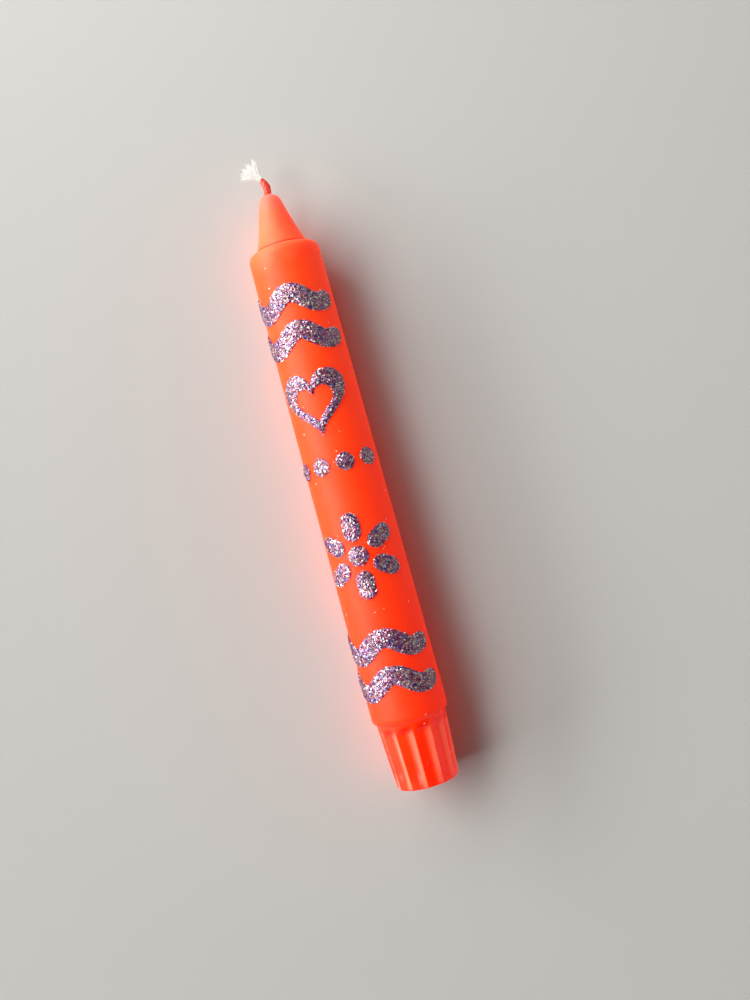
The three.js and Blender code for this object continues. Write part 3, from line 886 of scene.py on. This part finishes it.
def fibres(name, seed, count, thickness, spread, wander, shortest, sides, steps):
    """One kind of fibre, `count` of them to each clump. thickness is its radius."""
    return run_tree(new_piece(name, fray_points), spread_fibres, {
        "Fibres": count, "Root": fray_root, "Aim": fray_aim, "Spread": spread * MM,
        "Root spread": ROOT_SPREAD * MM, "Wander": wander * MM, "Thickness": thickness * MM,
        "Shortest": shortest, "Steps": steps, "Sides": sides, "Seed": seed, "Cotton": fibre_cotton})


yarns = fibres("frayed_wick_yarns", seed=3, count=13, thickness=0.15, spread=0.5, wander=0.7,
               shortest=0.84, sides=6, steps=14)
hairs = fibres("frayed_wick_fibres", seed=8, count=90, thickness=0.035, spread=0.7, wander=1.3,
               shortest=0.74, sides=3, steps=12)
hand_over(yarns, "cotton_braid", "wick_fray")
hand_over(hairs, "cotton_braid")

# %% [markdown]
# ## Glitter
#
# The paint is a clear craft glue, tinted violet by its finest dust, and full of hexagonal foil flakes. Each
# flake is a tiny mirror with its own tilt. Those that face halfway between the window and the eye flash
# nearly white, and the others show their own violet, plum or pink. So the sparkle isn't painted: it comes
# from thousands of real flakes and the lamps. Foil is metal with a thin coloured lacquer, and its clear film
# turns to lavender where it is seen at a slant, for which a sheen stands.

# %% Clear glue with violet dust
DUST_SIZE = 0.3
DUST_DEPTH = 0.08
DUST_TINTS = [(0.0, "#4c2068"), (0.5, "#843a74"), (1.0, "#ac5c74")]


def glitter_glue():
    """Glossy glue, rough with coloured dust."""
    material, add = new_material("violet_glitter_glue")
    place = add("ShaderNodeTexCoord").outputs["Object"]
    dust = add("ShaderNodeTexVoronoi", inputs={"Vector": place, "Scale": 1 / (DUST_SIZE * MM)})
    grain = add("ShaderNodeSeparateColor", inputs={"Color": dust.outputs["Color"]})
    tint = colour_ramp(add, grain, DUST_TINTS)
    bump = add("ShaderNodeBump", inputs={"Height": dust, "Strength": 0.5, "Distance": DUST_DEPTH * MM})
    shader = add("ShaderNodeBsdfPrincipled", inputs={
        "Base Color": tint, "Normal": bump, "Roughness": 0.3, "IOR": 1.48,
        "Coat Weight": 0.3, "Coat Roughness": 0.15})
    return end_material(material, add, shader)


# %% Foil flakes
MIXED_FOIL = [
    (0.0, "#2c1c58"), (0.12, "#5428a4"), (0.22, "#b4406c"), (0.4, "#d46474"), (0.53, "#d4908c"),
    (0.64, "#7c6cb8"), (0.79, "#e4ccc0"), (0.86, "#fff2dc"), (0.94, "#d4f2ea")]
# The pale tints of the mix start here. Flakes at a stroke's rim take only these.
RIM_FOIL = 0.79
PALE_FOIL = [(0.0, "#fff4d6"), (0.6, "#ffe9c0"), (0.8, "#e8f6ee")]


def foil(name, tints, metallic):
    """Lacquered foil. Each flake reads its colour from its own number."""
    material, add = new_material(name)
    own = add("ShaderNodeAttribute", {"attribute_name": "flake"}).outputs["Fac"]
    tint = colour_ramp(add, own, tints, "CONSTANT")
    shader = add("ShaderNodeBsdfPrincipled", inputs={
        "Base Color": tint, "Metallic": metallic, "Roughness": 0.28, "Coat Weight": 1.0,
        "Coat IOR": 1.85, "Coat Roughness": 0.12, "Sheen Weight": 0.6, "Sheen Roughness": 0.3,
        "Sheen Tint": linear("#8c78ff")})
    return end_material(material, add, shader)


glue = glitter_glue()
mixed_flakes = foil("lacquered_foil_flakes", MIXED_FOIL, metallic=0.45)
pale_flakes = foil("pale_foil_specks", PALE_FOIL, metallic=0.0)

# %% [markdown]
# ## Flakes on every stroke
#
# A brush stroke is a low ridge, and its CAD node has the right place and outline, so a merged copy of it is
# the ground: two levels of subdivision round it off. Points are strewn over its outer side at random. Each
# gets a hexagonal flake that lies roughly along the surface, tilted and turned by chance, and a number of
# its own that the foil's colour is read from. Flakes at the rim stand over it, as on the real stroke.

# %% Tree that lays the glitter
SMALLEST_FLAKE = 0.7
LARGEST_FLAKE = 1.15
# A face takes flakes where its normal leans outwards by more than this.
OUTER_SIDE = 0.3
# Every flake has a number from here up, and the glue has none.
LOWEST_NUMBER = 0.001
SHIFT_SEED = 50.0
NUMBER_SEED = 90.0


def glitter_tree():
    """Strews foil flakes over the outer side of a piece."""
    tree, add, size = new_tree(
        "lay_glitter",
        Int="Smoothing, Seed",
        Float="Flakes per area, Flake width, Foil thickness, Tilt, Lift, Scatter, Lowest, Rim slope",
        Bool="Keep glue",
        Material="Glue, Foil")
    ridge = add("GeometryNodeSubdivisionSurface", inputs={
        "Mesh": size["Geometry"], "Level": size["Smoothing"]})

    # Only the side that faces away from the candle's axis takes flakes, and only down to the lowest place.
    place = add("GeometryNodeInputPosition")
    flat = add(VECTOR_MATH, "MULTIPLY", [place, (1, 1, 0)])
    outwards = add(VECTOR_MATH, "NORMALIZE", [flat])
    normal = add("GeometryNodeInputNormal")
    facing = add(VECTOR_MATH, "DOT_PRODUCT", [outwards, normal])
    outer = add(MATH, "GREATER_THAN", [facing, OUTER_SIDE])
    depth = add("ShaderNodeSeparateXYZ", inputs=[place]).outputs["X"]
    high_up = add(MATH, "LESS_THAN", [depth, size["Lowest"]])
    strewn = add("GeometryNodeDistributePointsOnFaces", inputs={
        "Mesh": ridge, "Selection": add(MATH, "MULTIPLY", [outer, high_up]),
        "Density": size["Flakes per area"], "Seed": size["Seed"]}).outputs

    # Where the ridge falls away at its rim, the pale flakes are the ones that catch the eye.
    slope = add(VECTOR_MATH, "DOT_PRODUCT", [outwards, strewn["Normal"]])
    rim = add(MATH, "LESS_THAN", [slope, size["Rim slope"]])
    told = add("GeometryNodeStoreNamedAttribute", inputs={
        "Geometry": strewn["Points"], "Name": "rim", "Value": rim})

    tilt_back = add(MATH, "MULTIPLY", [size["Tilt"], -1.0])
    tilt = add("FunctionNodeRandomValue", {"data_type": "FLOAT_VECTOR"}, {
        "Min": add("ShaderNodeCombineXYZ", inputs=[tilt_back, tilt_back, -math.pi]),
        "Max": add("ShaderNodeCombineXYZ", inputs=[size["Tilt"], size["Tilt"], math.pi]),
        "Seed": size["Seed"]})
    rotation = add("FunctionNodeRotateRotation", {"rotation_space": "LOCAL"}, {
        "Rotation": strewn["Rotation"],
        "Rotate By": add("FunctionNodeEulerToRotation", inputs={"Euler": tilt})})
    flake = add("GeometryNodeMeshCylinder", {"fill_type": "NGON"}, {
        "Vertices": 6, "Radius": add(MATH, "DIVIDE", [size["Flake width"], 2.0]),
        "Depth": size["Foil thickness"]})
    scale = add("FunctionNodeRandomValue", inputs={
        "Min": SMALLEST_FLAKE, "Max": LARGEST_FLAKE, "Seed": size["Seed"]})
    laid = add("GeometryNodeInstanceOnPoints", inputs={
        "Points": told, "Instance": flake, "Rotation": rotation, "Scale": scale})

    # The draws that follow have seeds of their own, away from those of the other strokes.
    shift_seed = add(MATH, "ADD", [size["Seed"], SHIFT_SEED])
    own_seed = add(MATH, "ADD", [size["Seed"], NUMBER_SEED])
    scatter = size["Scatter"]
    back = add(MATH, "MULTIPLY", [scatter, -1.0])
    shift = add("FunctionNodeRandomValue", {"data_type": "FLOAT_VECTOR"}, {
        "Min": add("ShaderNodeCombineXYZ", inputs=[back, back]),
        "Max": add("ShaderNodeCombineXYZ", inputs=[scatter, scatter, size["Lift"]]),
        "Seed": shift_seed})
    shifted = add("GeometryNodeTranslateInstances", inputs={
        "Instances": laid, "Translation": shift, "Local Space": True})
    own = add("FunctionNodeRandomValue", inputs={"Min": LOWEST_NUMBER, "Max": 1.0, "Seed": own_seed})
    pale = add(MAP_RANGE, inputs={"Value": own, "To Min": RIM_FOIL})
    at_rim = add("GeometryNodeInputNamedAttribute", inputs={"Name": "rim"})
    chosen = add("ShaderNodeMix", inputs={"Factor": at_rim, "A": own, "B": pale})
    numbered = add("GeometryNodeStoreNamedAttribute", {"domain": "INSTANCE"}, {
        "Geometry": shifted, "Name": "flake", "Value": chosen})

    smooth = add("GeometryNodeSetShadeSmooth", inputs=[ridge])
    kept = add("GeometryNodeSwitch", {"input_type": "GEOMETRY"}, {
        "Switch": size["Keep glue"], "True": smooth})
    both = add("GeometryNodeJoinGeometry")
    for part in (kept, numbered):
        tree.links.new(part.outputs[0], both.inputs[0])
    number = add("GeometryNodeInputNamedAttribute", inputs={"Name": "flake"})
    is_flake = add(MATH, "GREATER_THAN", [number, 0.0])
    end_tree(add, both, (size["Glue"], True), (size["Foil"], is_flake))
    return tree


lay_glitter = glitter_tree()

# %% Glitter on each stroke
FLAKE_WIDTH = 0.5
# Real foil is about 0.03 mm thick.
FOIL_THICKNESS = 0.03
FLAKES_PER_MM2 = 13.0
FLAKE_TILT = math.radians(22)
FLAKE_LIFT = 0.1
FLAKE_SCATTER = 0.12
RIM_SLOPE = 0.72
# A metre below the axis is lower than any face.
NO_LOWEST = 1000


def glittered(piece, seed, per_mm2, **changes):
    """Strews flakes over a piece. changes are inputs of the tree that differ from a stroke's."""
    sizes = {
        "Smoothing": 2, "Flakes per area": per_mm2 / MM ** 2, "Flake width": FLAKE_WIDTH * MM,
        "Foil thickness": FOIL_THICKNESS * MM, "Tilt": FLAKE_TILT, "Lift": FLAKE_LIFT * MM,
        "Scatter": FLAKE_SCATTER * MM, "Lowest": NO_LOWEST * MM, "Rim slope": RIM_SLOPE,
        "Keep glue": True, "Seed": seed, "Glue": glue, "Foil": mixed_flakes}
    return run_tree(piece, lay_glitter, {**sizes, **changes})


strokes = sorted(name for name in frame["nodes"] if name.startswith("glitter_"))
for seed, node in enumerate(strokes):
    stroke = upright_copy(node + "_paint", node)
    glittered(stroke, seed + 1, FLAKES_PER_MM2)
    hand_over(stroke, "glitter_paint", node)

# %% [markdown]
# ## Stray flakes
#
# Loose flakes stick to the wax all round the strokes. Against the neon wax only the pale ones show, small and
# bright. The same tree strews a few of them over the skin's upper side and leaves the glue out.

# %% Stray flakes
STRAY_SEED = 77
STRAYS_PER_MM2 = 0.006
STRAY_LIFT = 0.02
# They lie down to 3 mm below the candle's axis.
STRAYS_LOWEST = 3

strays = new_object("stray_flakes", stray_ground)
glittered(strays, STRAY_SEED, STRAYS_PER_MM2, **{
    "Smoothing": 0, "Lift": STRAY_LIFT * MM, "Scatter": 0.0, "Lowest": STRAYS_LOWEST * MM,
    "Keep glue": False, "Foil": pale_flakes})
hand_over(strays, "glitter_paint")

# %% [markdown]
# ## Floor and light
#
# The floor is plain and pale. It curves up into a wall far behind the candle, so that low views have a pale
# background too. Near the lamps that wall would burn out and behind them it would be dull, so to the camera
# and to mirrors the floor turns, well away from the candle, into an even backdrop. The photograph's shadow
# tells where its light came from: a low window gives the long faint part of it and the flashes on the foil,
# a broad light halfway up gives the short dark part, and a small one beyond the wick's end brightens the
# floor there. The world fills the rest.

# %% Floor
FLOOR_RADIUS = 4600
COVE_RADIUS = 1000
COVE_STEPS = 12
WALL_HEIGHT = 2600
FLOOR_SIDES = 96
# Rings of the flat floor, inside the one where the wall begins.
FLOOR_RINGS = (600, 200)


def studio_floor():
    """A round floor that curves up into a wall, from the wall's top down and in to the middle."""
    flat = FLOOR_RADIUS - COVE_RADIUS
    outline = [(FLOOR_RADIUS, WALL_HEIGHT)]
    for k in range(COVE_STEPS, 0, -1):
        turn = math.pi / 2 * k / COVE_STEPS
        outline.append((flat + COVE_RADIUS * math.sin(turn), COVE_RADIUS * (1 - math.cos(turn))))
    outline += [(radius, 0) for radius in (flat, *FLOOR_RINGS)]
    return lofted("floor", turned(outline, FLOOR_SIDES), closed=False)


# %% Plaster
FLOOR_COLOUR = "#cfcdc9"
BACKDROP_COLOUR = "#c6c2bc"
BACKDROP_FROM = 220
BACKDROP_FULL = 650


def plaster():
    """Pale plaster near the candle, and the even backdrop farther off."""
    material, add = new_material("pale_plaster")
    material.cycles.emission_sampling = "NONE"
    lit = add("ShaderNodeBsdfPrincipled", inputs={
        "Base Color": linear(FLOOR_COLOUR), "Roughness": 0.75, "Specular IOR Level": 0.2})
    even = add("ShaderNodeEmission", inputs={"Color": linear(BACKDROP_COLOUR), "Strength": 1.0})
    ray = add("ShaderNodeLightPath").outputs
    mirrored = add(MATH, "ADD", [ray["Is Glossy Ray"], ray["Is Transmission Ray"]])
    seen = add(MATH, "ADD", [ray["Is Camera Ray"], mirrored])
    place = add("ShaderNodeTexCoord").outputs["Object"]
    far = add(MAP_RANGE, SMOOTH, {
        "Value": add(VECTOR_MATH, "LENGTH", [place]),
        "From Min": BACKDROP_FROM * MM, "From Max": BACKDROP_FULL * MM})
    share = add(MATH, {"operation": "MULTIPLY", "use_clamp": True}, [seen, far])
    surface = add("ShaderNodeMixShader", inputs=[share, lit, even])
    return end_material(material, add, surface)


floor = studio_floor()
floor.data.shade_smooth()
floor.data.materials.append(plaster())
print("The floor is", round(2 * FLOOR_RADIUS * MM, 1), "metres across")

# %% Lamps
def window(name, bearing, elevation, distance, wide, tall, share):
    """A rectangular lamp that faces the candle's middle. bearing is in degrees from the wick's direction
    towards the left, distance is in metres, wide and tall are in degrees as seen from the candle, and share
    is how much of the light that falls on the floor there comes from it."""
    turn, rise = math.radians(bearing), math.radians(elevation)
    way = Vector((math.cos(turn) * math.cos(rise), math.sin(turn) * math.cos(rise), math.sin(rise)))
    lamp = bpy.data.lights.new(name, "AREA")
    lamp.shape = "RECTANGLE"
    lamp.size = 2 * distance * math.tan(math.radians(wide / 2))
    lamp.size_y = 2 * distance * math.tan(math.radians(tall / 2))
    # A lamp of P watts gives the floor P sin(rise) / (pi distance squared), and pi there is plain level.
    lamp.energy = share * math.pi ** 2 * distance ** 2 / math.sin(rise)
    light = new_object(name, lamp)
    light.location = way * distance
    light.rotation_euler = way.to_track_quat("Z", "Y").to_euler()
    print(name, "gives", round(lamp.energy, 2), "watts")


window("low_window", bearing=66, elevation=20, distance=3.2, wide=70, tall=13, share=0.36)
window("high_light", bearing=64, elevation=46, distance=4.2, wide=58, tall=22, share=0.56)
window("far_light", bearing=15, elevation=36, distance=0.4, wide=28, tall=20, share=0.12)

world = bpy.data.worlds.new("room")
bpy.context.scene.world = world
world.use_nodes = True
air = world.node_tree.nodes["Background"].inputs
air["Color"].default_value = linear("#ffe2d6")
air["Strength"].default_value = 0.014

# %% [markdown]
# ## Picture
#
# The Standard view shows colours as they are written.

# %% Finish
bpy.context.scene.view_settings.view_transform = "Standard"
